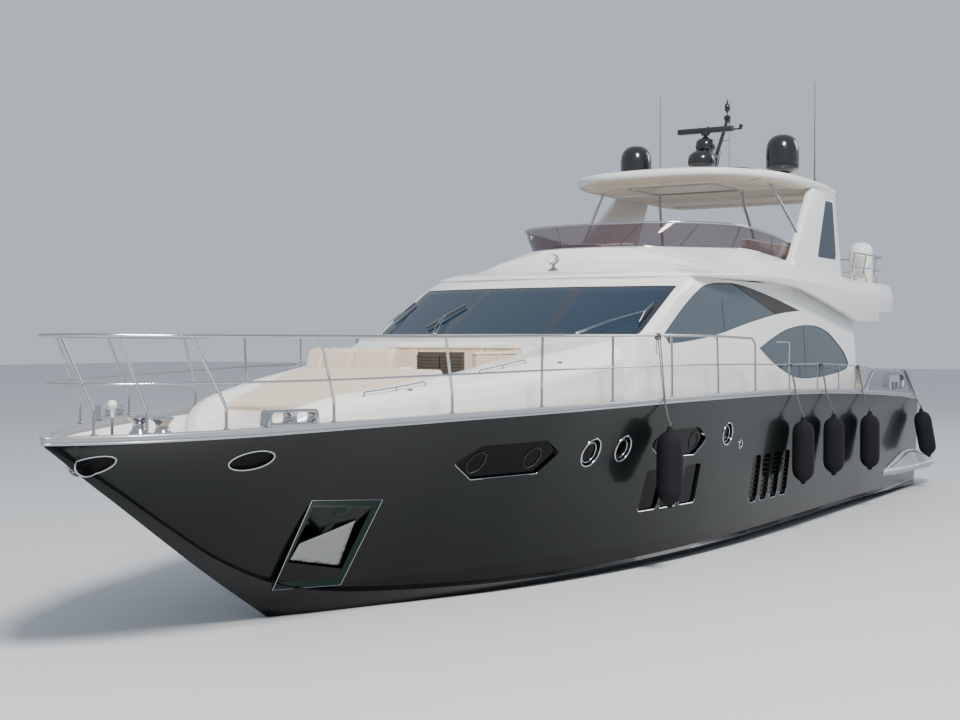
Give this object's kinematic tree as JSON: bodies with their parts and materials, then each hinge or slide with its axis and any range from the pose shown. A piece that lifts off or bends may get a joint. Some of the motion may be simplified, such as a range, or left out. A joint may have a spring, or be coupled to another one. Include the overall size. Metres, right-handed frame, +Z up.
{
  "type": "flybridge motor yacht",
  "caption": "Raised-foredeck flybridge motor yacht with a dark hull, white superstructure, hardtop, sun pads, rails and hanging fenders.",
  "frame": {"origin": "on the centreline at the waterline amidships", "axes": "+X towards the bow, +Y to port, +Z up"},
  "size_m": [26.68, 7.0286, 11.2755],
  "materials": {
    "hull_gelcoat": "very dark grey gloss gelcoat",
    "white_gelcoat": "white gloss gelcoat",
    "pale_teak": "sun-bleached teak planking",
    "polished_steel": "polished stainless steel",
    "cap_silver": "silver satin paint",
    "tinted_glass": "dark blue-grey tinted glass",
    "smoked_acrylic": "reddish smoked acrylic",
    "beige_vinyl": "beige vinyl upholstery",
    "dark_wood": "dark varnished slats",
    "teak": "weathered teak",
    "interior_joinery": "satin veneer",
    "black_plastic": "black gloss plastic",
    "fender_cover": "black knitted fender cover",
    "bronze": "propeller bronze"
  },
  "bodies": {
    "yacht": {"hull": "hull_gelcoat", "bulwark": "hull_gelcoat", "cap_rail": "cap_silver", "deck": "pale_teak", "foredeck": "pale_teak", "coachroof": "white_gelcoat", "sun_pad": "beige_vinyl", "pad_backrest": "beige_vinyl", "lounge_seat": "beige_vinyl", "slatted_locker": "dark_wood", "saloon_shell": "white_gelcoat", "windscreen": "tinted_glass", "fin_window_port": "tinted_glass", "fin_window_starboard": "tinted_glass", "leaf_window_port": "tinted_glass", "leaf_window_starboard": "tinted_glass", "aft_wall": "polished_steel", "helm_console": "interior_joinery", "helm_seat": "beige_vinyl", "saloon_sofa_port": "beige_vinyl", "saloon_cabinet": "interior_joinery", "fly_deck": "white_gelcoat", "fly_windshield": "smoked_acrylic", "fly_frame": "polished_steel", "fly_helm": "white_gelcoat", "fly_helm_seat": "beige_vinyl", "fly_sofa": "beige_vinyl", "fly_table": "teak", "fly_bar": "white_gelcoat", "hardtop": "white_gelcoat", "dome_port": "black_plastic", "dome_starboard": "black_plastic", "mast": "black_plastic", "whip_port": "black_plastic", "whip_starboard": "black_plastic", "fly_aft_rail": "polished_steel", "canister": "white_gelcoat", "bow_rail": "polished_steel", "windlass": "polished_steel", "anchor_port": "polished_steel", "anchor_starboard": "polished_steel", "fender_1": "fender_cover", "fender_2": "fender_cover", "fender_3": "fender_cover", "fender_4": "fender_cover", "fender_5": "fender_cover", "swim_platform": "teak", "cockpit_sofa": "beige_vinyl", "cockpit_table": "teak", "fly_stair": "white_gelcoat", "shaft_bracket_port": "bronze", "shaft_bracket_starboard": "bronze"},
    "door": {"saloon_door": "tinted_glass"},
    "garage": {"garage_door": "hull_gelcoat"},
    "scanner": {"radar_scanner": "black_plastic"},
    "propeller_p": {"propeller_port": "bronze"},
    "propeller_s": {"propeller_starboard": "bronze"},
    "rudder_p": {"rudder_port": "bronze"},
    "rudder_s": {"rudder_starboard": "bronze"}
  },
  "joints": [
    {"name": "propeller_port_spin", "type": "hinge", "parent": "yacht", "child": "propeller_p", "pos_m": [-9.4, 1.35, -1.4], "axis": [0.9832, 0, 0.1826], "continuous": true},
    {"name": "propeller_starboard_spin", "type": "hinge", "parent": "yacht", "child": "propeller_s", "pos_m": [-9.4, -1.35, -1.4], "axis": [0.9832, 0, 0.1826], "continuous": true},
    {"name": "rudder_port_turn", "type": "hinge", "parent": "yacht", "child": "rudder_p", "pos_m": [-10.45, 1.35, -1], "axis": [0, 0, 1], "range_deg": [-35, 35]},
    {"name": "rudder_starboard_turn", "type": "hinge", "parent": "yacht", "child": "rudder_s", "pos_m": [-10.45, -1.35, -1], "axis": [0, 0, 1], "range_deg": [-35, 35]},
    {"name": "radar_spin", "type": "hinge", "parent": "yacht", "child": "scanner", "pos_m": [-5.4, 0, 8.25], "axis": [0, 0, 1], "continuous": true},
    {"name": "saloon_door_slide", "type": "slide", "parent": "yacht", "child": "door", "axis": [0, -1, 0], "range_m": [0, 1.2]},
    {"name": "garage_door_lift", "type": "hinge", "parent": "yacht", "child": "garage", "pos_m": [-11.681, 0, 1.89], "axis": [0, 1, 0], "range_deg": [0, 80]}
  ],
  "couplings": [
    {"joint": "rudder_starboard_turn", "follows": "rudder_port_turn", "ratio": 1}
  ]
}
